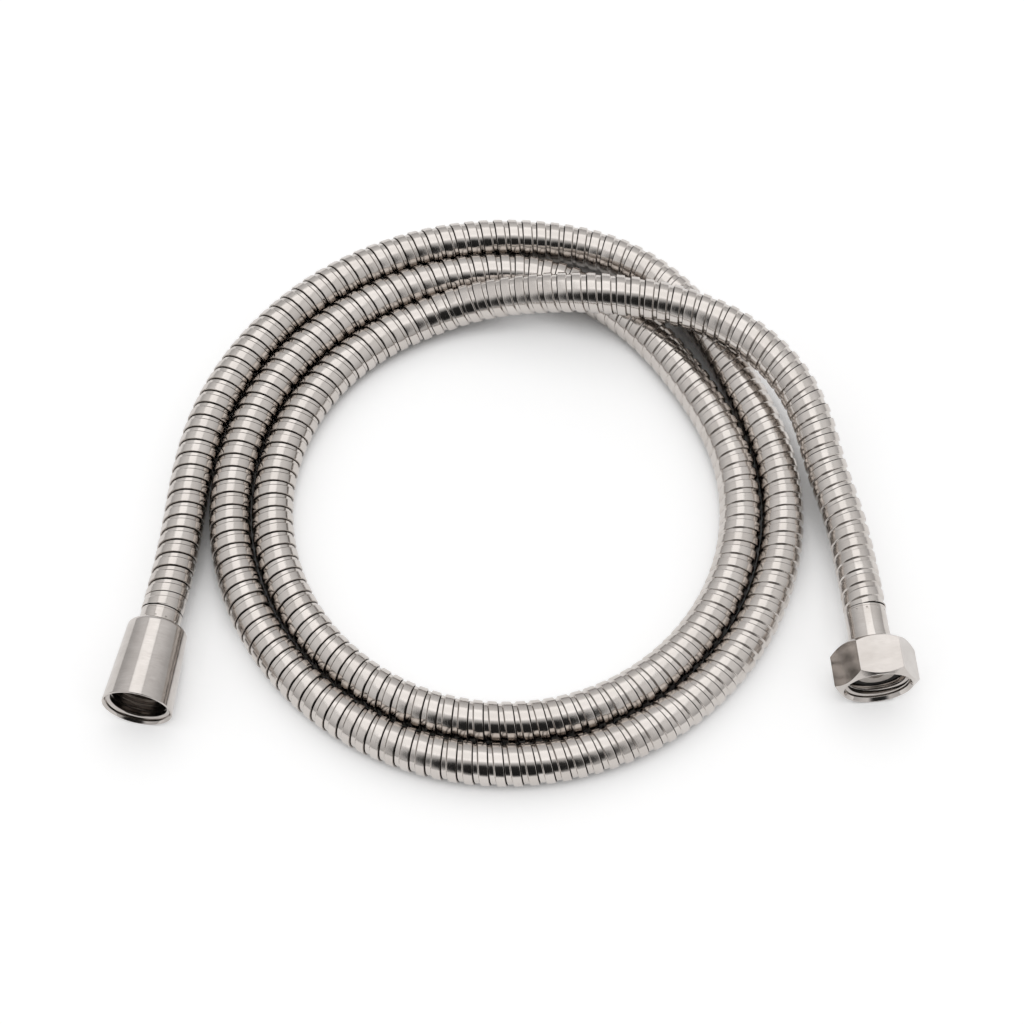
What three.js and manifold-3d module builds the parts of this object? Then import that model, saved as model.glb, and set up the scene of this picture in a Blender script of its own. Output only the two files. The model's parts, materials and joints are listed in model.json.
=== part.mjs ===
// Shower hose, 1.5 m, brushed nickel: an interlocked metal jacket over a soft inner tube,
// with a tapered swivel nut on one end and a hexagonal swivel nut on the other, both G 1/2.
// It lies in a loose coil of two and a half turns. Millimetres, +Z up.
import * as THREE from "three";
import { mergeVertices } from "three/addons/utils/BufferGeometryUtils.js";
import Module from "manifold-3d";

// Hose section
const hoseDiameter = 14;
const jacketWall = 1.6;
const innerTubeWall = 1.0;
const waterBore = 5.0;
const hoseSides = 12;
const innerTubeSides = 10;

// Clearances
const fitGap = 0.3;
const laneGap = 0.3;

// Coil: the turns lie in three lanes, side by side on the floor
const innerLaneRadius = 78.6;
const stationsPerTurn = 27;
const fullTurn = 360;
const coilStart = 4.5;
const coilSteps = 66;
const outerLane = 2;

// The last turn crosses over the two others on its way out. Angles are in degrees of travel
// along the coil, counted clockwise from the left: the middle of each change and half its span.
const outerToMiddle = { at: 131.9, half: 26.1 };
const middleToInner = { at: 479.0, half: 34.0 };
const innerToOuter = { at: 852.1, half: 35.3 };
const hump = { at: 850.3, flat: 10.6, slope: 60.3 };

// The free ends, from the coil outwards: places on the floor and heights of the middle line
const coneLegRoute = [
  [-108.3, -8.0],
  [-110.1, -24.4],
  [-112.75, -40.9],
];
const coneLegHeights = [7.6, 8.7];
const hexLegRoute = [
  [107.7, 11.5],
  [112.7, -5.8],
  [115.5, -23.3],
  [117.1, -41.0],
];
const hexLegHeights = [12.6, 10.0, 10.1];

// Crimp ferrule, measured along its axis from the cut end of the jacket
const ferruleDiameter = 13.6;
const ferruleCollarDiameter = 14.4;
const ferruleLength = 13.1;
const ferruleFlareLength = 3.0;
const ferruleCollarLength = 1.8;
const ferruleFrontWall = 2.8;

// Tail: hollow barbed stem, neck for the nut, flange behind the washer and nose through it
const stemRootWall = 0.55;
const barbHeight = 0.35;
const barbCount = 3;
const barbPitch = 2.6;
const throatDiameter = 8.4;
const neckDiameter = 11.6;
const flangeDiameter = 17.6;
const flangeThickness = 1.8;
const noseDiameter = 12.0;
const noseProud = 0.4;

// Slip ring and washer
const slipRingThickness = 0.8;
const washerDiameter = 18.0;
const washerThickness = 3.0;

// Swivel nuts: G 1/2 internal thread, drawn at its crest diameter, behind a tapered lip
const threadCrest = 18.63;
const threadRoot = 20.96;
const mouthDiameter = 22.2;
const lipDepth = 1.2;
const nutWeb = 2.5;
const hexAcrossFlats = 24;
const hexLength = 14;
const hexChamferStart = 23.0;
const hexChamferAngle = 38;
const coneShoulderDiameter = 19.9;
const coneMouthDiameter = 23.1;
const coneLength = 29.5;
const coneShoulderRound = 1.6;
const coneRimRound = 0.35;
const coneFerruleCover = 8.1;

// Faces round a turned piece and round a rounded edge, and how far a cutting body runs past
const turnedFaces = 32;
const edgeFaces = 4;
const cutOverrun = 0.5;

const wasm = await Module();
wasm.setup();

const radians = THREE.MathUtils.degToRad;
const hoseRadius = hoseDiameter / 2;
const lanePitch = hoseDiameter + laneGap;
const jacketBoreRadius = hoseRadius - jacketWall;
const innerTubeRadius = jacketBoreRadius * Math.cos(Math.PI / hoseSides) - fitGap;
const innerTubeBoreRadius = innerTubeRadius - innerTubeWall;

// Places along a fitting's axis, from the cut end of the jacket outwards
const ferruleFront = fitGap + ferruleLength;
const nutWebBack = ferruleFront + fitGap;
const nutWebFront = nutWebBack + nutWeb;
const slipRingBack = nutWebFront + fitGap;
const flangeBack = slipRingBack + slipRingThickness + fitGap;
const flangeFront = flangeBack + flangeThickness;
const washerBack = flangeFront + fitGap;
const noseFront = washerBack + washerThickness + noseProud;
const ferruleCupEnd = ferruleFront - ferruleFrontWall;
const innerTubeReach = ferruleCupEnd - fitGap;
const coneBack = nutWebBack - coneFerruleCover;
const coneMouth = coneBack + coneLength;
const hexMouth = nutWebBack + hexLength;

const finish = (color, roughness, metalness) =>
  new THREE.MeshStandardMaterial({ color, roughness, metalness });
const steel = finish(0xb4aaa4, 0.28, 1);
const satinNickel = finish(0xbfb8b1, 0.32, 1);
const greyAcetal = finish(0xb3aaa3, 0.5, 0);
const softTube = finish(0x2b2b2d, 0.8, 0);
const blackRubber = finish(0x1f1e1e, 0.75, 0);
const whiteAcetal = finish(0xe6e4de, 0.5, 0);

// Eases from 0 to 1 across a change of lane.
function eased(travel, change) {
  const share = THREE.MathUtils.clamp((travel - change.at) / (2 * change.half) + 0.5, 0, 1);
  return (1 - Math.cos(Math.PI * share)) / 2;
}

// Height of the crossing strand above the floor lane, from 0 to 1.
function humpShare(travel) {
  const past = Math.max(Math.abs(travel - hump.at) - hump.flat, 0) / hump.slope;
  return past < 1 ? Math.cos((Math.PI / 2) * past) ** 2 : 0;
}

// A point of the coil's middle line after so many degrees of travel.
function coilPoint(travel) {
  const inwards = eased(travel, outerToMiddle) + eased(travel, middleToInner);
  const lane = outerLane - inwards + outerLane * eased(travel, innerToOuter);
  const radius = innerLaneRadius + lane * lanePitch;
  const angle = radians(travel);
  const height = hoseRadius + lanePitch * humpShare(travel);
  return new THREE.Vector3(-radius * Math.cos(angle), radius * Math.sin(angle), height);
}

// A nut that lies on the floor sets the height and the tilt of the end of its hose.
function coneSeat() {
  const shoulderAt = coneBack + coneShoulderRound;
  const mouthAt = coneMouth - coneRimRound;
  const rise = (coneMouthDiameter - coneShoulderDiameter) / 2;
  const tilt = Math.atan2(rise, mouthAt - shoulderAt);
  const height = (coneShoulderDiameter / 2) * Math.cos(tilt) - shoulderAt * Math.sin(tilt);
  return { tilt, height };
}

// The end of a leg: where the jacket is cut, and which way the fitting's axis points.
function legEnd(route, height, tilt) {
  const [last, before] = [route.at(-1), route.at(-2)];
  const heading = new THREE.Vector2(last[0] - before[0], last[1] - before[1]).normalize();
  const axis = new THREE.Vector3(heading.x * Math.cos(tilt), heading.y * Math.cos(tilt), Math.sin(tilt));
  return { place: new THREE.Vector3(last[0], last[1], height), axis };
}

// All stations of the hose's middle line, from the tapered nut's end to the hexagonal nut's.
function hoseStations(coneEnd, hexEnd) {
  const stations = [coneEnd.place];
  for (let i = coneLegHeights.length - 1; i >= 0; i--) {
    stations.push(new THREE.Vector3(...coneLegRoute[i], coneLegHeights[i]));
  }
  for (let i = 0; i <= coilSteps; i++) {
    stations.push(coilPoint(coilStart + (i * fullTurn) / stationsPerTurn));
  }
  hexLegHeights.forEach((height, i) => stations.push(new THREE.Vector3(...hexLegRoute[i], height)));
  stations.push(hexEnd.place);
  return stations;
}

// A path with its sections exactly at the stations, each square to the line that halves its bend.
class StationPath extends THREE.Curve {
  constructor(stations, startDirection, endDirection) {
    super();
    this.stations = stations;
    this.ends = [startDirection, endDirection];
  }

  getUtoTmapping(u) {
    return u;
  }

  getPoint(t) {
    const place = t * (this.stations.length - 1);
    const i = Math.min(Math.floor(place), this.stations.length - 2);
    return this.stations[i].clone().lerp(this.stations[i + 1], place - i);
  }

  getTangent(t) {
    const last = this.stations.length - 1;
    const i = Math.round(t * last);
    if (i === 0) return this.ends[0].clone();
    if (i === last) return this.ends[1].clone();
    const [before, here, after] = [i - 1, i, i + 1].map((n) => this.stations[n]);
    const arriving = here.clone().sub(before).normalize();
    return after.clone().sub(here).normalize().add(arriving).normalize();
  }
}

// A hollow tube of even section along a path of stations.
function tubeAlong(path, radius, boreRadius, sides) {
  const ring = (r) => {
    const corners = [];
    for (let i = 0; i < sides; i++) {
      const angle = (2 * Math.PI * i) / sides;
      corners.push(new THREE.Vector2(r * Math.cos(angle), r * Math.sin(angle)));
    }
    return corners;
  };
  const section = new THREE.Shape(ring(radius));
  section.holes.push(new THREE.Path(ring(boreRadius)));
  return new THREE.ExtrudeGeometry(section, { steps: path.stations.length - 1, extrudePath: path });
}

// A turned piece: its outline is given as [radius, place along the axis] and closes on itself.
function turned(outline) {
  const points = outline.map(([r, along]) => new THREE.Vector2(r, along));
  points.push(points[0].clone());
  return new THREE.LatheGeometry(points, turnedFaces);
}

// Corner points of a rounded edge, from one angle to another about a centre.
function roundedEdge(radius, along, round, fromAngle, toAngle) {
  const points = [];
  for (let i = 0; i <= edgeFaces; i++) {
    const angle = radians(fromAngle + ((toAngle - fromAngle) * i) / edgeFaces);
    points.push([radius + round * Math.cos(angle), along + round * Math.sin(angle)]);
  }
  return points;
}

function asManifold(geometry) {
  const bare = geometry.clone();
  bare.deleteAttribute("normal");
  bare.deleteAttribute("uv");
  const merged = mergeVertices(bare, 1e-4);
  return new wasm.Manifold(
    new wasm.Mesh({
      numProp: 3,
      vertProperties: merged.attributes.position.array,
      triVerts: new Uint32Array(merged.index.array),
    }),
  );
}

function asGeometry(solid) {
  const mesh = solid.getMesh();
  const geometry = new THREE.BufferGeometry();
  geometry.setAttribute("position", new THREE.BufferAttribute(mesh.vertProperties, 3));
  geometry.setIndex(new THREE.BufferAttribute(mesh.triVerts, 1));
  const faceted = geometry.toNonIndexed();
  faceted.computeVertexNormals();
  return faceted;
}

// Crimp ferrule: a turned cup, open to the hose, with a flared collar that the nut runs against.
function ferrule() {
  const radius = ferruleDiameter / 2;
  const collar = ferruleCollarDiameter / 2;
  const bore = innerTubeRadius + fitGap;
  const throat = throatDiameter / 2 + fitGap;
  const flareEnd = ferruleFront - ferruleCollarLength;
  return turned([
    [bore, fitGap],
    [radius, fitGap],
    [radius, flareEnd - ferruleFlareLength],
    [collar, flareEnd],
    [collar, ferruleFront],
    [throat, ferruleFront],
    [throat, ferruleCupEnd],
    [bore, ferruleCupEnd],
  ]);
}

// Tail: barbs hold the inner tube, the neck carries the nut, the flange backs the washer, and the
// nose keeps it in the middle.
function tail() {
  const bore = waterBore / 2;
  const root = bore + stemRootWall;
  const barb = root + barbHeight;
  const stemEnd = innerTubeReach + fitGap;
  const outline = [[bore, fitGap]];
  for (let i = 0; i < barbCount; i++) {
    const foot = fitGap + i * barbPitch;
    outline.push([root, foot], [barb, foot + barbPitch]);
  }
  outline.push([root, fitGap + barbCount * barbPitch + barbHeight]);
  outline.push([root, stemEnd], [throatDiameter / 2, stemEnd], [throatDiameter / 2, nutWebBack]);
  outline.push([neckDiameter / 2, nutWebBack], [neckDiameter / 2, flangeBack]);
  outline.push([flangeDiameter / 2, flangeBack], [flangeDiameter / 2, flangeFront]);
  outline.push([noseDiameter / 2, flangeFront], [noseDiameter / 2, noseFront], [bore, noseFront]);
  return turned(outline);
}

// A flat ring, such as the slip ring or the washer.
function flatRing(boreRadius, radius, back, thickness) {
  return turned([
    [boreRadius, back],
    [radius, back],
    [radius, back + thickness],
    [boreRadius, back + thickness],
  ]);
}

// The socket that both nuts share, from the mouth back to the web that holds the nut on its tail.
function nutSocket(mouth) {
  const threadStart = mouth - lipDepth;
  return [
    [mouthDiameter / 2, mouth],
    [threadRoot / 2, threadStart],
    [threadCrest / 2, threadStart - (threadRoot - threadCrest) / 2],
    [threadCrest / 2, nutWebFront],
    [neckDiameter / 2 + fitGap, nutWebFront],
    [neckDiameter / 2 + fitGap, nutWebBack],
  ];
}

// Hexagonal nut: a turned blank with a chamfer at each end, brought to six flats.
function hexNut() {
  const corner = hexAcrossFlats / 2 / Math.cos(radians(30));
  const blankRadius = corner + cutOverrun;
  const face = hexChamferStart / 2;
  const chamfer = (blankRadius - face) * Math.tan(radians(hexChamferAngle));
  const blank = turned([
    [face, nutWebBack],
    [blankRadius, nutWebBack + chamfer],
    [blankRadius, hexMouth - chamfer],
    [face, hexMouth],
    ...nutSocket(hexMouth),
  ]);
  const bar = new THREE.CylinderGeometry(corner, corner, hexLength + 2 * cutOverrun, 6);
  bar.rotateY(radians(30));
  bar.translate(0, nutWebBack + hexLength / 2, 0);
  return asGeometry(asManifold(blank).intersect(asManifold(bar)));
}

// Tapered nut: a smooth skirt that hides the ferrule's collar and widens towards its mouth.
function coneNut() {
  const shoulder = coneShoulderDiameter / 2 - coneShoulderRound;
  const rim = coneMouthDiameter / 2 - coneRimRound;
  const skirtBore = ferruleCollarDiameter / 2 + fitGap;
  return turned([
    [skirtBore, coneBack],
    ...roundedEdge(shoulder, coneBack + coneShoulderRound, coneShoulderRound, -90, 0),
    ...roundedEdge(rim, coneMouth - coneRimRound, coneRimRound, 0, 90),
    ...nutSocket(coneMouth),
    [skirtBore, nutWebBack],
  ]);
}

// A group whose +Y runs out along a fitting's axis from the cut end, with +Z kept upright.
function fittingGroup({ place, axis }) {
  const side = new THREE.Vector3().crossVectors(axis, new THREE.Vector3(0, 0, 1)).normalize();
  const upright = new THREE.Vector3().crossVectors(side, axis);
  const group = new THREE.Group();
  group.quaternion.setFromRotationMatrix(new THREE.Matrix4().makeBasis(side, axis, upright));
  group.position.copy(place);
  return group;
}

function named(name, geometry, material) {
  const mesh = new THREE.Mesh(geometry, material.clone());
  mesh.name = name;
  return mesh;
}

// What both ends share: ferrule, tail, slip ring and washer, and then the end's own nut.
function fitting(name, end, nutGeometry) {
  const group = fittingGroup(end);
  const neckClearRadius = neckDiameter / 2 + fitGap;
  const ringRadius = flangeDiameter / 2;
  group.add(named(`${name}_end_ferrule`, ferrule(), satinNickel));
  group.add(named(`${name}_end_tail`, tail(), greyAcetal));
  const ring = flatRing(neckClearRadius, ringRadius, slipRingBack, slipRingThickness);
  group.add(named(`${name}_end_slip_ring`, ring, whiteAcetal));
  const washerBore = noseDiameter / 2 + fitGap;
  const washer = flatRing(washerBore, washerDiameter / 2, washerBack, washerThickness);
  group.add(named(`${name}_end_washer`, washer, blackRubber));
  group.add(named(`${name}_nut`, nutGeometry, satinNickel));
  return group;
}

const seat = coneSeat();
const coneEnd = legEnd(coneLegRoute, seat.height, seat.tilt);
const hexEnd = legEnd(hexLegRoute, hexAcrossFlats / 2, 0);
const stations = hoseStations(coneEnd, hexEnd);
const startDirection = coneEnd.axis.clone().negate();
const jacketPath = new StationPath(stations, startDirection, hexEnd.axis);
const innerTubePath = new StationPath(
  [
    coneEnd.place.clone().addScaledVector(coneEnd.axis, innerTubeReach),
    ...stations,
    hexEnd.place.clone().addScaledVector(hexEnd.axis, innerTubeReach),
  ],
  startDirection,
  hexEnd.axis,
);

const hose = new THREE.Group();
hose.add(named("hose_jacket", tubeAlong(jacketPath, hoseRadius, jacketBoreRadius, hoseSides), steel));
const innerTube = tubeAlong(innerTubePath, innerTubeRadius, innerTubeBoreRadius, innerTubeSides);
hose.add(named("inner_tube", innerTube, softTube));
hose.add(fitting("cone", coneEnd, coneNut()));
hose.add(fitting("hex", hexEnd, hexNut()));

// The origin is the middle of the floor that the coiled hose covers.
const extent = new THREE.Box3().setFromObject(hose, true);
const middle = extent.getCenter(new THREE.Vector3());
hose.position.set(-middle.x, -middle.y, -extent.min.z);

export default hose;
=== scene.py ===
import json
import math

import bpy
import numpy as np
from mathutils import Matrix, Vector


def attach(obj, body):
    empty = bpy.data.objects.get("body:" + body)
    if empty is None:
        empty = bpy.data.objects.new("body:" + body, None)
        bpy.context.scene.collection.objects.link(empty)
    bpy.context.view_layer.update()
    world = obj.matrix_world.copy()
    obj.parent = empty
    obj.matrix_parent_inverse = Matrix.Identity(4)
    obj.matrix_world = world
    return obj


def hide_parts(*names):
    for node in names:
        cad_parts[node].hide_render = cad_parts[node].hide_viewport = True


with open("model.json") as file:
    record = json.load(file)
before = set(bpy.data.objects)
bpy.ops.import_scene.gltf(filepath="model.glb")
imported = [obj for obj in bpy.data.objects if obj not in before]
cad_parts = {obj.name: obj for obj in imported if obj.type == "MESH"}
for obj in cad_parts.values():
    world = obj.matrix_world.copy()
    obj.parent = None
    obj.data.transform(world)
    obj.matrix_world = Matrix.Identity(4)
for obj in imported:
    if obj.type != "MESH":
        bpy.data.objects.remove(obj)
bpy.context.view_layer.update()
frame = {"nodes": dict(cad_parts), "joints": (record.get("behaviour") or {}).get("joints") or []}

# Camera: from in front of the two open ends, looking steeply down along +Y at the middle of
# the coil.
camera_distance = 0.8
camera_elevation = math.radians(62.85)
camera_aim = Vector((0.00005, -0.00568, 0.0))
camera_data = bpy.data.cameras.new("camera")
camera_data.sensor_width = 36
camera_data.lens = 82.87
camera = bpy.data.objects.new("camera", camera_data)
bpy.context.scene.collection.objects.link(camera)
camera.location = camera_aim + camera_distance * Vector(
    (0, -math.cos(camera_elevation), math.sin(camera_elevation))
)
camera.rotation_euler = (math.pi / 2 - camera_elevation, 0, 0)
bpy.context.scene.camera = camera


# Hose jacket: a strip of nickel-plated steel, rolled to a shallow S and wound so that each turn
# hooks into the one before. A raised band and a sunken one alternate, and the open slot
# beside each raised band is where the hose gives when it bends.
hose_diameter = 0.014
lane_pitch = 0.0143
inner_lane_radius = 0.0786
coil_centre = np.array((-0.001836, -0.0068975, 0.0))
cone_leg = [(-0.11275, -0.0409, 0.00950), (-0.1101, -0.0244, 0.0087), (-0.1083, -0.0080, 0.0076)]
hex_leg = [
    (0.1077, 0.0115, 0.0126), (0.1127, -0.0058, 0.0100), (0.1155, -0.0233, 0.0101),
    (0.1171, -0.0410, 0.0120),
]
# Degrees along the coil: the middle and half the length of each step to another lane, and the
# hump that carries the last turn over the two others
coil_start = 4.5
first_step_in = (131.9, 26.1)
second_step_in = (479.0, 34.0)
step_out = (852.1, 35.3)
hump_middle = 850.3
hump_top = 10.6
hump_slope = 60.3
stations_a_turn = 27
coil_stations = 67
line_spacing = 0.0005
strip_pitch = 0.0049
steps_round = 24
band_middle = 0.00163
# Across one pitch of the strip: place along the hose from the slot, and radius, in millimetres
strip_profile = [
    (0.00, 5.95), (0.05, 6.72), (0.13, 6.94), (0.32, 7.00), (2.78, 7.00), (2.98, 6.92),
    (3.12, 6.64), (3.24, 6.42), (3.44, 6.36), (4.54, 6.36), (4.68, 6.28), (4.73, 6.00),
]
band_points = 8


def eased(travel, middle, half_span):
    """A soft step from 0 to 1 about the middle."""
    share = np.clip((travel - middle) / (2 * half_span) + 0.5, 0, 1)
    return (1 - np.cos(np.pi * share)) / 2


def coil_line():
    """The coil's middle line: two turns inwards on the floor, then one out over the others."""
    travel = coil_start + np.arange(coil_stations) * 360 / stations_a_turn
    inwards = eased(travel, *first_step_in) + eased(travel, *second_step_in)
    lane = 2 - inwards + 2 * eased(travel, *step_out)
    radius = inner_lane_radius + lane * lane_pitch
    past_top = np.maximum(np.abs(travel - hump_middle) - hump_top, 0) / hump_slope
    hump = np.where(past_top < 1, np.cos(np.pi / 2 * past_top) ** 2, 0)
    angle = np.radians(travel)
    height = hose_diameter / 2 + lane_pitch * hump
    return np.column_stack((-radius * np.cos(angle), radius * np.sin(angle), height))


def joint_of(name):
    return next(joint for joint in frame["joints"] if joint["name"] == name)


def axis_of(name):
    return np.array(Vector(joint_of(name)["axis"]).normalized())


def smooth_line(stations, start, end, spacing):
    """Evenly spaced points of the cubic line through the stations that leaves along start
    and arrives along end."""
    knots = np.r_[0, np.cumsum(np.linalg.norm(np.diff(stations, axis=0), axis=1))]
    spans = np.diff(knots)
    slopes = np.diff(stations, axis=0) / spans[:, None]
    system = np.eye(len(knots))
    speeds = np.zeros_like(stations)
    speeds[0], speeds[-1] = start, end
    for i in range(1, len(knots) - 1):
        before, after = spans[i - 1], spans[i]
        system[i, i - 1 : i + 2] = 1 / before, 2 / before + 2 / after, 1 / after
        speeds[i] = 3 * (slopes[i - 1] / before + slopes[i] / after)
    speeds = np.linalg.solve(system, speeds)
    at = np.linspace(0, knots[-1], int(knots[-1] / spacing) * 2)
    i = np.clip(np.searchsorted(knots, at, side="right") - 1, 0, len(spans) - 1)
    span = spans[i][:, None]
    u = ((at - knots[i]) / spans[i])[:, None]
    line = (
        (2 * u**3 - 3 * u**2 + 1) * stations[i]
        + (u**3 - 2 * u**2 + u) * span * speeds[i]
        + (3 * u**2 - 2 * u**3) * stations[i + 1]
        + (u**3 - u**2) * span * speeds[i + 1]
    )
    run = np.r_[0, np.cumsum(np.linalg.norm(np.diff(line, axis=0), axis=1))]
    even = np.linspace(0, run[-1], int(run[-1] / spacing) + 1)
    return np.column_stack([np.interp(even, run, line[:, k]) for k in range(3)]), run[-1]


def unit(vectors):
    return vectors / np.linalg.norm(vectors, axis=-1, keepdims=True)


hose_stations = np.vstack((cone_leg, coil_line(), hex_leg)) + coil_centre
hose_line, hose_length = smooth_line(
    hose_stations, -axis_of("cone_nut_spin"), axis_of("hex_nut_spin"), line_spacing
)
turns = round(hose_length / strip_pitch)
strip_pitch = hose_length / turns

# Directions along the line, with both ends carried on straight for the trimming of the strip
line_run = np.linspace(0, hose_length, len(hose_line))
run_on = 3 * strip_pitch
line_heading = unit(np.gradient(hose_line, axis=0))
long_run = np.r_[-run_on, line_run, hose_length + run_on]
long_line = np.vstack(
    (hose_line[0] - run_on * line_heading[0], hose_line, hose_line[-1] + run_on * line_heading[-1])
)
long_heading = np.vstack((line_heading[0], line_heading, line_heading[-1]))
bend = np.gradient(line_heading, line_run, axis=0)
smoothed_points = 17
smoothing = np.ones(smoothed_points) / smoothed_points
bend = np.column_stack([np.convolve(bend[:, k], smoothing, "same") for k in range(3)])
long_bend = np.vstack((np.zeros(3), bend, np.zeros(3)))
long_side = np.zeros_like(long_heading)
side = np.array((0.0, 0.0, 1.0))
for i, heading in enumerate(long_heading):
    side = unit(side - heading * side.dot(heading))
    long_side[i] = side
long_other = np.cross(long_heading, long_side)


def along(table, run):
    """The table's rows at these lengths along the hose."""
    return np.stack([np.interp(run, long_run, table[:, k]) for k in range(3)], axis=-1)


def wander(turn, amount):
    """A slow, even wobble from turn to turn, as a wound strip has."""
    wobble = np.sin(2.399 * turn) + 0.7 * np.sin(5.113 * turn + 1.0) + 0.5 * np.sin(0.731 * turn)
    return amount * wobble


profile = np.array(strip_profile) / 1000
columns = np.arange(-steps_round, (turns + 1) * steps_round + 1)
turn = columns / steps_round
angle = 2 * np.pi * turn
out = np.cos(angle)[:, None] * along(long_side, turn * strip_pitch)
out += np.sin(angle)[:, None] * along(long_other, turn * strip_pitch)
tightness = (along(long_bend, turn * strip_pitch) * out).sum(axis=1)
stretch = 1 - hose_diameter / 2 * tightness
slot_wander = 0.00003
band_start = turn * strip_pitch + wander(turn, slot_wander)
next_start = (turn + 1) * strip_pitch + wander(turn + 1, slot_wander)
band_lean = wander(turn * 1.3 + 4.0, 0.000012)

# The last half turn at each end is pressed level under the ferrule's edge.
pressed_radius = 0.00684
pressed = 1 - eased(np.minimum(turn, turns - turn), 0.5, 0.3)

# Each band keeps its width, so that on the outside of a bend the sunken part opens.
points = len(profile)
places = np.zeros((len(columns), points, 3))
band_end = profile[band_points - 1, 0]
sunken_start = band_start + band_middle + (band_end - band_middle) / stretch
slot = next_start + band_middle - band_middle / stretch
for k, (across, radius) in enumerate(profile):
    reach = radius
    if k < band_points:
        run = band_start + band_middle + (across - band_middle) / stretch
    else:
        run = sunken_start + (across - band_end) / (strip_pitch - band_end) * (slot - sunken_start)
    if 0 < k < band_points:
        reach = reach + band_lean * (across - band_middle) / band_middle
    reach = reach + pressed * max(pressed_radius - radius, 0)
    around = np.cos(angle)[:, None] * along(long_side, run)
    around += np.sin(angle)[:, None] * along(long_other, run)
    places[:, k] = along(long_line, run) + around * reach[:, None]

vertex = np.arange(len(columns) * points).reshape(-1, points)
faces = [
    (vertex[:-1, k], vertex[:-1, k + 1], vertex[1:, k + 1], vertex[1:, k])
    for k in range(points - 1)
]
faces.append(
    (
        vertex[: -steps_round - 1, -1],
        vertex[steps_round:-1, 0],
        vertex[steps_round + 1 :, 0],
        vertex[1:-steps_round, -1],
    )
)
faces = np.vstack([np.column_stack(quads) for quads in faces])
strip_mesh = bpy.data.meshes.new("hose_jacket_strip")
strip_mesh.from_pydata(places.reshape(-1, 3).tolist(), [], faces.tolist())
jacket = bpy.data.objects.new("hose_jacket_strip", strip_mesh)
bpy.context.scene.collection.objects.link(jacket)

# Place on the strip, for the material: turns along it, and the share of a pitch across it
across_share = np.append(profile[:, 0] / strip_pitch, 1.0)
strip_uv = strip_mesh.uv_layers.new(name="strip")
corner = np.zeros(len(strip_mesh.loops), dtype=np.int32)
strip_mesh.loops.foreach_get("vertex_index", corner)
corner_turn = turn[corner // points]
corner_across = across_share[corner % points]
closing = np.repeat(np.arange(len(faces)) >= (len(columns) - 1) * (points - 1), 4)
wrapped = closing & (corner % points == 0)
corner_turn = np.where(wrapped, corner_turn - 1, corner_turn)
corner_across = np.where(wrapped, 1.0, corner_across)
strip_uv.data.foreach_set("uv", np.column_stack((corner_turn, corner_across)).ravel())


def only(piece):
    """Select this piece alone and make it the active one."""
    bpy.ops.object.select_all(action="DESELECT")
    piece.select_set(True)
    bpy.context.view_layer.objects.active = piece


def choose(piece, test):
    """Select the faces whose centre passes the test, and no others."""
    for vert in piece.data.vertices:
        vert.select = False
    for edge in piece.data.edges:
        edge.select = False
    for face in piece.data.polygons:
        face.select = bool(test(face.center))


def applied(piece, name, kind, **settings):
    """Give the piece a modifier with these settings, and apply it."""
    only(piece)
    modifier = piece.modifiers.new(name, kind)
    for setting, value in settings.items():
        setattr(modifier, setting, value)
    bpy.ops.object.modifier_apply(modifier=name)


# The strip is trimmed square at both ends, where it meets the ferrules. Only faces this near to
# an end are cut, so that the strands beside it stay whole.
trim_reach = 0.0130
for place, heading in ((hose_line[0], -line_heading[0]), (hose_line[-1], line_heading[-1])):
    only(jacket)
    bpy.ops.object.mode_set(mode="EDIT")
    bpy.ops.mesh.select_mode(type="FACE")
    bpy.ops.mesh.select_all(action="DESELECT")
    bpy.ops.object.mode_set(mode="OBJECT")
    near = Vector(place)
    choose(jacket, lambda centre: (centre - near).length < trim_reach)
    bpy.ops.object.mode_set(mode="EDIT")
    bpy.ops.mesh.bisect(
        plane_co=place, plane_no=heading, use_fill=True, clear_outer=True, threshold=1e-7
    )
    bpy.ops.object.mode_set(mode="OBJECT")
only(jacket)
bpy.ops.object.mode_set(mode="EDIT")
bpy.ops.mesh.select_all(action="SELECT")
bpy.ops.mesh.normals_make_consistent(inside=False)
bpy.ops.object.mode_set(mode="OBJECT")
bpy.ops.object.shade_smooth_by_angle(angle=math.radians(50))
applied(jacket, "flat bands", "WEIGHTED_NORMAL", mode="FACE_AREA", keep_sharp=True, weight=90)


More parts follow.
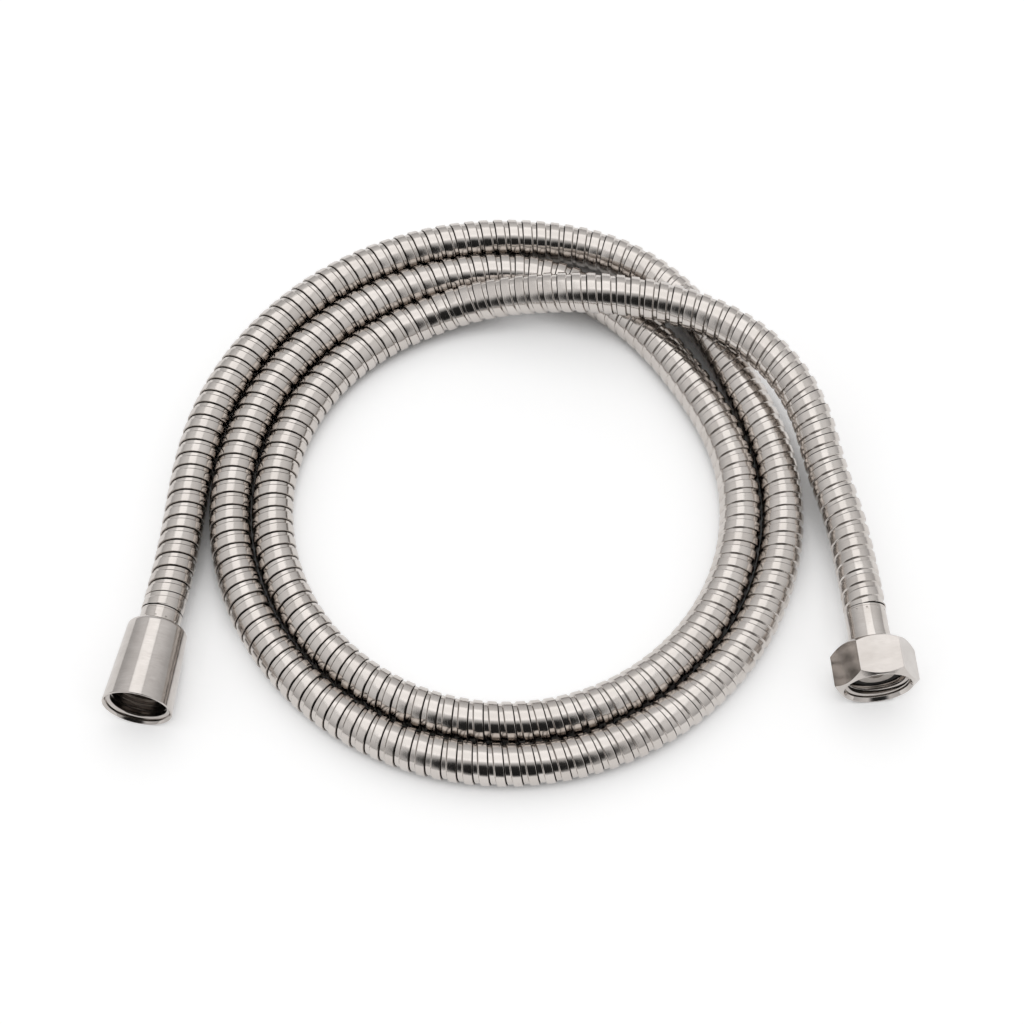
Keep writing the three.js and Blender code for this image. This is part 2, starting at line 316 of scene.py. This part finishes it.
class Value:
    """One output of a material's nodes. Arithmetic on it adds Math nodes beside it."""

    def __init__(self, tree, socket=None):
        self.tree = tree
        self.socket = socket

    def node(self, kind, inputs=(), output=0, **settings):
        """Any node: its settings first, then what its sockets hold or are linked to."""
        made = self.tree.nodes.new(kind)
        for setting, value in settings.items():
            setattr(made, setting, value)
        for key, value in dict(inputs).items():
            if isinstance(value, Value):
                self.tree.links.new(value.socket, made.inputs[key])
            else:
                made.inputs[key].default_value = value
        return Value(self.tree, made.outputs[output])

    def math(self, operation, *values):
        return self.node("ShaderNodeMath", enumerate(values), operation=operation)

    def __add__(self, other):
        return self.math("ADD", self, other)

    def __sub__(self, other):
        return self.math("SUBTRACT", self, other)

    def __rsub__(self, other):
        return self.math("SUBTRACT", other, self)

    def __mul__(self, other):
        return self.math("MULTIPLY", self, other)

    def __truediv__(self, other):
        return self.math("DIVIDE", self, other)

    def __abs__(self):
        return self.math("ABSOLUTE", self)

    __radd__ = __add__
    __rmul__ = __mul__

    def ramped(self, low, high):
        """From 0 at low to 1 at high, with soft ends."""
        return self.node(
            "ShaderNodeMapRange",
            {"Value": self, "From Min": low, "From Max": high},
            interpolation_type="SMOOTHSTEP",
        )

    def tint(self, first, second):
        """The first colour where this is 0, and the second where it is 1."""
        colours = [c if isinstance(c, Value) else (*c, 1) for c in (first, second)]
        return self.node(
            "ShaderNodeMix", {0: self, 6: colours[0], 7: colours[1]}, output=2, data_type="RGBA"
        )

    def scaled(self, x, y, z):
        return self.node("ShaderNodeVectorMath", {0: self, 1: (x, y, z)}, operation="MULTIPLY")

    def on_object(self):
        """Places in the piece's own frame."""
        return self.node("ShaderNodeTexCoord", output=3)

    def grain(self, scale, detail=3.0):
        return self.node(
            "ShaderNodeTexNoise",
            {"Vector": self, "Scale": scale, "Detail": detail, "Roughness": 0.55},
        )

    def split(self):
        """The three parts of a vector."""
        made = self.tree.nodes.new("ShaderNodeSeparateXYZ")
        self.tree.links.new(self.socket, made.inputs[0])
        return [Value(self.tree, part) for part in made.outputs]


def new_material(name, metallic):
    """A material, a value to build its nodes from, and its shader."""
    material = bpy.data.materials.new(name)
    material.use_nodes = True
    shader = material.node_tree.nodes["Principled BSDF"]
    shader.inputs["Metallic"].default_value = metallic
    return material, Value(material.node_tree), shader


def feed(shader, **values):
    """Link each value to the shader's socket of that name."""
    for socket, value in values.items():
        value.tree.links.new(value.socket, shader.inputs[socket.replace("_", " ")])


def raised_by(start, height, distance):
    """A normal that follows this height."""
    return start.node("ShaderNodeBump", {"Height": height, "Distance": distance, "Strength": 1.0})


nickel_light = (0.643, 0.604, 0.573)
nickel_deep = (0.534, 0.493, 0.460)
# Painted shade: the near-black colour laid into the deep open slot between turns
painted_slot_shade = (0.032, 0.024, 0.018)
strip_nickel, start, shader = new_material("wound nickel strip", 1.0)
strip_place = start.node("ShaderNodeUVMap", uv_map="strip")
turns_along, share_across, _ = strip_place.split()
brushing = strip_place.scaled(7.0, 60.0, 1.0).grain(1.0, detail=4.0)
turn_tone = strip_place.scaled(0.9, 0.0, 1.0).grain(1.0, detail=2.0)
handling = start.on_object().grain(55.0)

# The open slot is painted near black as shade, except where the ends are pressed level.
slot_shade_mask = 1 - share_across.ramped(0.002, 0.014) * (1 - share_across.ramped(0.936, 0.955))
still_open = turns_along.ramped(0.3, 0.6) * (1 - turns_along.ramped(turns - 0.6, turns - 0.3))
slot_shade_mask = slot_shade_mask * still_open
tone = (turn_tone - 0.5) * 0.9 + (brushing - 0.5) * 0.5 + (handling - 0.5) * 0.3 + 0.5
colour = slot_shade_mask.tint(tone.ramped(0.15, 0.85).tint(nickel_light, nickel_deep), painted_slot_shade)
feed(
    shader,
    Base_Color=colour,
    Roughness=0.07 + brushing * 0.07 + handling * 0.04 + slot_shade_mask * 0.4,
    Normal=raised_by(start, brushing, 0.000012),
)
strip_mesh.materials.append(strip_nickel)
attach(jacket, "hose")
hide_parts("hose_jacket")


# Inner tube: extruded black rubber that carries the water, hidden in the jacket all the way. It
# is pushed over the barbs of both tails, and the ferrules clamp it there.
def dress(node_name, material):
    """Give a CAD node this material all over."""
    for slot in frame["nodes"][node_name].material_slots:
        slot.material = material


tube_rubber, start, shader = new_material("extruded tube rubber", 0.0)
skin = start.on_object().grain(900.0)
feed(
    shader,
    Base_Color=skin.tint((0.010, 0.010, 0.011), (0.020, 0.020, 0.021)),
    Roughness=0.55 + skin * 0.2,
    Normal=raised_by(start, skin, 0.00003),
)
dress("inner_tube", tube_rubber)


# Crimp ferrules: turned and plated brass cups that grip the cut end of the jacket. A rolled line
# runs round the open edge, a row of punched dimples holds the jacket, and the front flares
# out to a collar that the nut runs against.
joint_from_cut_end = 0.0137
ferrule_faces = 96
dimple_every = 8
dimple_faces = 2
dimple_half_width = 0.45


def fitting_place(joint_name):
    """Where a fitting stands: +Z out along its axis, from the cut end of the jacket."""
    axis = Vector(axis_of(joint_name))
    across = Vector((0, 0, 1)).cross(axis).normalized()
    place = Matrix((across, axis.cross(across), axis)).transposed().to_4x4()
    place.translation = Vector(joint_of(joint_name)["pos_m"]) - axis * joint_from_cut_end
    return place


def outline_ring(name, outline):
    """A flat ring of edges through the outline's points, given as [radius, height] in mm."""
    bpy.ops.object.select_all(action="DESELECT")
    bpy.ops.mesh.primitive_circle_add(vertices=len(outline), radius=0.001)
    piece = bpy.context.object
    piece.name = name
    for vert, (radius, height) in zip(piece.data.vertices, outline):
        vert.co = (radius / 1000, 0, height / 1000)
    return piece


def outwards(piece):
    """Weld the seams and turn the faces outwards."""
    only(piece)
    bpy.ops.object.mode_set(mode="EDIT")
    bpy.ops.mesh.select_all(action="SELECT")
    bpy.ops.mesh.remove_doubles(threshold=2e-7)
    bpy.ops.mesh.normals_make_consistent(inside=False)
    bpy.ops.object.mode_set(mode="OBJECT")


def turned(name, outline, faces):
    """A solid of revolution about +Z, turned from its outline."""
    piece = outline_ring(name, outline)
    applied(
        piece, "turn", "SCREW", axis="Z", angle=2 * math.pi, steps=faces, render_steps=faces,
        use_merge_vertices=True, merge_threshold=2e-7,
    )
    outwards(piece)
    return piece


def fitted(piece, joint_name, smooth_angle=30):
    """Note each point's place on the upright piece, smooth it, and move it to its fitting."""
    only(piece)
    bpy.ops.object.shade_smooth_by_angle(angle=math.radians(smooth_angle))
    applied(piece, "even faces", "WEIGHTED_NORMAL", mode="FACE_AREA", keep_sharp=True, weight=90)
    upright = piece.data.attributes.new("upright", "FLOAT_VECTOR", "POINT")
    coordinates = np.zeros(len(piece.data.vertices) * 3, dtype=np.float32)
    piece.data.vertices.foreach_get("co", coordinates)
    upright.data.foreach_set("vector", coordinates)
    piece.matrix_world = fitting_place(joint_name)
    bpy.ops.object.transform_apply(location=True, rotation=True, scale=True)
    return piece


def rounded(radius, height, size, from_angle, to_angle, steps):
    """Outline points round an edge, about a centre at that radius and height."""
    points = []
    for i in range(steps + 1):
        angle = math.radians(from_angle + (to_angle - from_angle) * i / steps)
        points.append((radius + size * math.cos(angle), height + size * math.sin(angle)))
    return points


def ferrule(name, joint_name, dimples_at):
    """One ferrule, with its row of dimples at this height in mm."""
    row_start = dimples_at - dimple_half_width
    row_end = dimples_at + dimple_half_width
    piece = turned(
        name,
        [
            (5.216, 0.30), (6.62, 0.30), (6.76, 0.38), (6.80, 0.52), (6.80, 0.95), (6.70, 1.02),
            (6.70, 1.10), (6.80, 1.17), (6.80, row_start), (6.80, row_end), (6.80, 8.60),
            (7.20, 11.60), (7.20, 13.20), (7.00, 13.40), (4.50, 13.40), (4.50, 10.60),
            (5.216, 10.60),
        ],
        ferrule_faces,
    )
    middle = dimples_at / 1000
    spacing = 2 * math.pi * dimple_every / ferrule_faces
    face_angle = 2 * math.pi / ferrule_faces

    def in_dimple(centre):
        in_row = abs(centre.z - middle) < 0.0002 and math.hypot(centre.x, centre.y) > 0.0065
        faces_past = (math.atan2(centre.y, centre.x) % spacing) / face_angle
        return in_row and faces_past < dimple_faces

    only(piece)
    bpy.ops.object.mode_set(mode="EDIT")
    bpy.ops.mesh.select_mode(type="FACE")
    bpy.ops.object.mode_set(mode="OBJECT")
    choose(piece, in_dimple)
    bpy.ops.object.mode_set(mode="EDIT")
    bpy.ops.mesh.inset(thickness=0.00012, depth=0)
    bpy.ops.mesh.inset(thickness=0.00014, depth=-0.00016)
    bpy.ops.object.mode_set(mode="OBJECT")
    return fitted(piece, joint_name, smooth_angle=35)


def turned_nickel(name, light, deep, roughness):
    """Plated and fine-brushed on the lathe, so that the marks run round the piece."""
    material, start, shader = new_material(name, 1.0)
    upright = start.node("ShaderNodeAttribute", attribute_name="upright", output=1)
    rings = upright.scaled(250.0, 250.0, 9000.0).grain(1.0, detail=4.0)
    wiped = upright.scaled(90.0, 90.0, 160.0).grain(1.0, detail=3.0)
    handled = upright.grain(420.0, detail=2.0)
    tone = (rings - 0.5) * 0.7 + (wiped - 0.5) * 0.9 + (handled - 0.5) * 0.3 + 0.5
    feed(
        shader,
        Base_Color=tone.ramped(0.1, 0.9).tint(light, deep),
        Roughness=roughness + rings * 0.06 + wiped * 0.04,
        Normal=raised_by(start, rings, 0.000006),
    )
    return material


ferrule_nickel = turned_nickel("satin ferrule nickel", nickel_light, nickel_deep, 0.07)
for end, joint_name, dimples_at in (("cone", "cone_nut_spin", 4.2), ("hex", "hex_nut_spin", 1.9)):
    piece = ferrule(f"{end}_ferrule_crimped", joint_name, dimples_at)
    piece.data.materials.append(ferrule_nickel)
    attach(piece, "hose")
    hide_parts(f"{end}_end_ferrule")


# Tails: stems moulded from grey beige acetal, under the ferrules. Barbs grip the inner tube, a
# flange in the nut backs the washer, and the nose with the water bore shows in its middle.
tail_acetal, start, shader = new_material("moulded tail acetal", 0.0)
moulding = start.on_object().grain(900.0)
feed(
    shader,
    Base_Color=moulding.ramped(0.25, 0.75).tint((0.76, 0.70, 0.65), (0.66, 0.60, 0.55)),
    Roughness=0.36 + moulding * 0.16,
    Normal=raised_by(start, moulding, 0.00002),
)
for name in ("cone_end_tail", "hex_end_tail"):
    dress(name, tail_acetal)


# Slip rings: thin rings of white acetal between the nut's web and the tail's flange, on which
# the nut turns when it is screwed home.
ring_acetal, start, shader = new_material("natural acetal", 0.0)
moulding = start.on_object().grain(600.0, detail=2.0)
feed(
    shader,
    Base_Color=moulding.tint((0.74, 0.72, 0.67), (0.66, 0.64, 0.59)),
    Roughness=0.34 + moulding * 0.12,
    Normal=raised_by(start, moulding, 0.00001),
)
for name in ("cone_end_slip_ring", "hex_end_slip_ring"):
    dress(name, ring_acetal)


# Washers: moulded rings of black rubber with rounded edges, round the tail's nose and against its
# flange. The other fitting seals on their front face.
washer_rubber, start, shader = new_material("moulded washer rubber", 0.0)
upright = start.node("ShaderNodeAttribute", attribute_name="upright", output=1)
speckle = upright.grain(2600.0)
rubbed = upright.grain(330.0, detail=2.0)
wear = (speckle * 0.5 + rubbed * 0.5).ramped(0.25, 0.75)
feed(
    shader,
    Base_Color=wear.tint((0.014, 0.013, 0.013), (0.03, 0.028, 0.027)),
    Roughness=0.5 + speckle * 0.2,
    Normal=raised_by(start, speckle, 0.00003),
)
washer_faces = 72
for end, joint_name in (("cone", "cone_nut_spin"), ("hex", "hex_nut_spin")):
    piece = turned(
        f"{end}_washer_moulded",
        [
            *rounded(6.55, 19.95, 0.25, 270, 180, 3), *rounded(6.65, 22.35, 0.35, 180, 90, 4),
            *rounded(8.65, 22.35, 0.35, 90, 0, 4), *rounded(8.75, 19.95, 0.25, 0, -90, 3),
        ],
        washer_faces,
    )
    fitted(piece, joint_name)
    piece.data.materials.append(washer_rubber)
    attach(piece, "hose")
    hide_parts(f"{end}_end_washer")


# Tapered nut: turned from brass bar, its smooth skirt widening from a rounded shoulder to the
# mouth. A countersink and a short wall lie inside the mouth's rim, before the G 1/2 thread.
nut_nickel = turned_nickel(
    "fine brushed nut nickel", (0.622, 0.584, 0.555), (0.496, 0.458, 0.430), 0.07
)
nut_faces = 128
# In millimetres, from the cut end of the jacket along the axis
cone_mouth = 35.1
web_back = 13.70
web_front = 16.20
web_bore = 6.10
thread_pitch = 1.814
thread_crest = 9.315
thread_root = 10.38
thread_root_width = 0.36
thread_flank = 0.62
thread_start = 22.9
turns_below_start = 4
thread_steps = 72
core_gap = 0.12


def thread_tap(mouth):
    """The thread's own form as a solid: one screwed ridge, square at both ends. Its core stays
    clear of the bore, so that only the ridge cuts."""
    core = thread_crest - core_gap
    ridge = [
        (core, 0), (thread_root, thread_flank), (thread_root, thread_flank + thread_root_width),
        (core, 2 * thread_flank + thread_root_width), (core, thread_pitch),
    ]
    tap = outline_ring(
        "thread_tap",
        [
            (radius, height + thread_start - turns_below_start * thread_pitch)
            for radius, height in ridge
        ],
    )
    ends = {0, len(ridge) - 1}
    closing_edge = next(edge.index for edge in tap.data.edges if set(edge.vertices) == ends)
    only(tap)
    bpy.ops.object.mode_set(mode="EDIT")
    bpy.ops.mesh.select_mode(type="EDGE")
    bpy.ops.mesh.select_all(action="DESELECT")
    bpy.ops.object.mode_set(mode="OBJECT")
    tap.data.edges[closing_edge].select = True
    bpy.ops.object.mode_set(mode="EDIT")
    bpy.ops.mesh.delete(type="EDGE")
    bpy.ops.object.mode_set(mode="OBJECT")
    turns_cut = math.ceil((mouth - thread_start) / thread_pitch) + turns_below_start + 3
    applied(
        tap, "screw", "SCREW", axis="Z", angle=2 * math.pi, screw_offset=thread_pitch / 1000,
        iterations=turns_cut, steps=thread_steps, render_steps=thread_steps,
    )
    only(tap)
    bpy.ops.object.mode_set(mode="EDIT")
    bpy.ops.mesh.select_all(action="SELECT")
    bpy.ops.mesh.remove_doubles(threshold=2e-7)
    for height, way in ((thread_start, -1), (mouth + 2, 1)):
        bpy.ops.mesh.select_all(action="SELECT")
        bpy.ops.mesh.bisect(
            plane_co=(0, 0, height / 1000), plane_no=(0, 0, way), use_fill=True, clear_outer=True,
            threshold=1e-8,
        )
    bpy.ops.object.mode_set(mode="OBJECT")
    outwards(tap)
    return tap


def threaded(nut, mouth):
    """Cut the thread into the nut's bore."""
    tap = thread_tap(mouth)
    applied(nut, "tap", "BOOLEAN", object=tap, operation="DIFFERENCE", solver="EXACT")
    bpy.data.objects.remove(tap)


def mouth_lip(mouth, countersink):
    """The outline from a mouth's rim inwards: a countersink, a wall and the first flank."""
    inwards = [
        (11.12, 0.00), (11.07, 0.04), (10.46, countersink), (10.40, countersink + 0.10),
        (10.40, countersink + 0.80), (9.42, countersink + 1.15),
        (thread_crest, countersink + 1.30),
    ]
    return [(radius, mouth - depth) for radius, depth in inwards]


cone_nut = turned(
    "cone_nut_threaded",
    [
        (7.50, 5.75), (7.65, 5.60), *rounded(8.15, 7.40, 1.80, -90, -4, 8),
        *rounded(11.17, 34.72, 0.38, -3, 90, 5), *mouth_lip(cone_mouth, 0.60),
        (thread_crest, web_front), (web_bore, web_front), (web_bore, web_back), (7.50, web_back),
    ],
    nut_faces,
)
threaded(cone_nut, cone_mouth)
fitted(cone_nut, "cone_nut_spin", smooth_angle=28)
cone_nut.data.materials.append(nut_nickel)
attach(cone_nut, "tapered_nut")
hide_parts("cone_nut")


# Hexagonal nut: cut from hexagonal bar, with both ends turned to a chamfer that leaves an arc on
# each flat. The mouth is countersunk deeper, and the same thread is cut inside.
hex_mouth = 27.7
hex_blank_radius = 14.3
hex_end_radius = 11.5
hex_chamfer = (hex_blank_radius - hex_end_radius) * math.tan(math.radians(38))
half_across_flats = 0.012
hex_nut = turned(
    "hex_nut_threaded",
    [
        (6.25, web_back), (hex_end_radius, web_back), (hex_blank_radius, web_back + hex_chamfer),
        (hex_blank_radius, hex_mouth - hex_chamfer), (hex_end_radius, hex_mouth),
        *mouth_lip(hex_mouth, 1.05), (thread_crest, web_front), (web_bore, web_front),
        (web_bore, 13.85),
    ],
    nut_faces,
)
for side_number in range(6):
    flat_angle = math.radians(90 + 60 * side_number)
    towards = Vector((math.cos(flat_angle), math.sin(flat_angle), 0))
    only(hex_nut)
    bpy.ops.object.mode_set(mode="EDIT")
    bpy.ops.mesh.select_mode(type="FACE")
    bpy.ops.mesh.select_all(action="SELECT")
    bpy.ops.mesh.bisect(
        plane_co=towards * half_across_flats, plane_no=towards, use_fill=True, clear_outer=True,
        threshold=1e-7,
    )
    bpy.ops.object.mode_set(mode="OBJECT")
outwards(hex_nut)
applied(
    hex_nut, "broken edges", "BEVEL", width=0.00014, segments=2, limit_method="ANGLE",
    angle_limit=math.radians(24), harden_normals=False,
)
threaded(hex_nut, hex_mouth)
fitted(hex_nut, "hex_nut_spin", smooth_angle=28)
hex_nut.data.materials.append(nut_nickel)
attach(hex_nut, "hexagonal_nut")
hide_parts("hex_nut")


# Floor: a plain white table, which keeps the soft shadow under the hose. The camera and the
# metal's reflections see it as white, and near the hose that white glow fades to black as a
# painted contact shadow.
bpy.ops.object.select_all(action="DESELECT")
bpy.ops.mesh.primitive_plane_add(size=6, location=(0, 0, 0))
floor = bpy.context.object
floor.name = "floor"
floor_paint = bpy.data.materials.new("white table")
floor_paint.use_nodes = True
floor_paint.node_tree.nodes.clear()
start = Value(floor_paint.node_tree)
paint = start.node("ShaderNodeBsdfDiffuse", {"Color": (0.80, 0.80, 0.80, 1)})
camera_ray = start.node("ShaderNodeLightPath", output=0)
glossy_ray = start.node("ShaderNodeLightPath", output=3)
transmitted_ray = start.node("ShaderNodeLightPath", output=6)
# Painted contact shadow: ambient occlusion turns the floor's added glow down to black near the
# hose
painted_shadow_openness = start.node("ShaderNodeAmbientOcclusion", {"Distance": 0.02}, output=1, samples=8)
seen = (camera_ray + glossy_ray + transmitted_ray) * 0.40
glow_with_painted_shadow = painted_shadow_openness.ramped(0.26, 0.54).tint((0, 0, 0), (1, 1, 1))
glow = start.node("ShaderNodeEmission", {"Color": glow_with_painted_shadow, "Strength": seen})
surface = start.node("ShaderNodeAddShader", {0: paint, 1: glow})
output = floor_paint.node_tree.nodes.new("ShaderNodeOutputMaterial")
floor_paint.node_tree.links.new(surface.socket, output.inputs["Surface"])
floor.data.materials.append(floor_paint)


# Studio light: a white tent all round, brightest overhead, with the camera's dark opening in
# front of the table.
world = bpy.data.worlds.new("light tent")
bpy.context.scene.world = world
world.use_nodes = True
world.node_tree.nodes.clear()
start = Value(world.node_tree)
x, y, z = start.node("ShaderNodeTexCoord", output=0).split()
tent = 0.56 + z.ramped(0.0, 0.9) * 0.36
aside = abs(x)
from_middle = abs(y - 0.26)
panel = (1 - aside.ramped(0.28, 0.33)) * y.ramped(-0.26, -0.12) * (1 - y.ramped(0.66, 0.74))
panel = panel * z.ramped(0.2, 0.3) * (0.45 + from_middle.ramped(0.12, 0.36) * 0.14)
seam = aside.ramped(0.31, 0.325) * (1 - aside.ramped(0.335, 0.35)) * z.ramped(0.4, 0.5)
opening_aside = x / 0.48
opening_up = (z - 0.50) / 0.444
opening = opening_aside * opening_aside + opening_up * opening_up
dark = (1 - opening.ramped(0.55, 1.35)) * (1 - y.ramped(-0.28, -0.08))
brightness = (tent + panel - seam * 0.3) * (1 - dark * 0.975)
camera_ray = start.node("ShaderNodeLightPath", output=0)
brightness = brightness * (1 - camera_ray) + camera_ray
background = start.node("ShaderNodeBackground", {"Color": (1, 1, 1, 1), "Strength": brightness})
output = world.node_tree.nodes.new("ShaderNodeOutputWorld")
world.node_tree.links.new(background.socket, output.inputs["Surface"])

bpy.context.scene.view_settings.view_transform = "Standard"
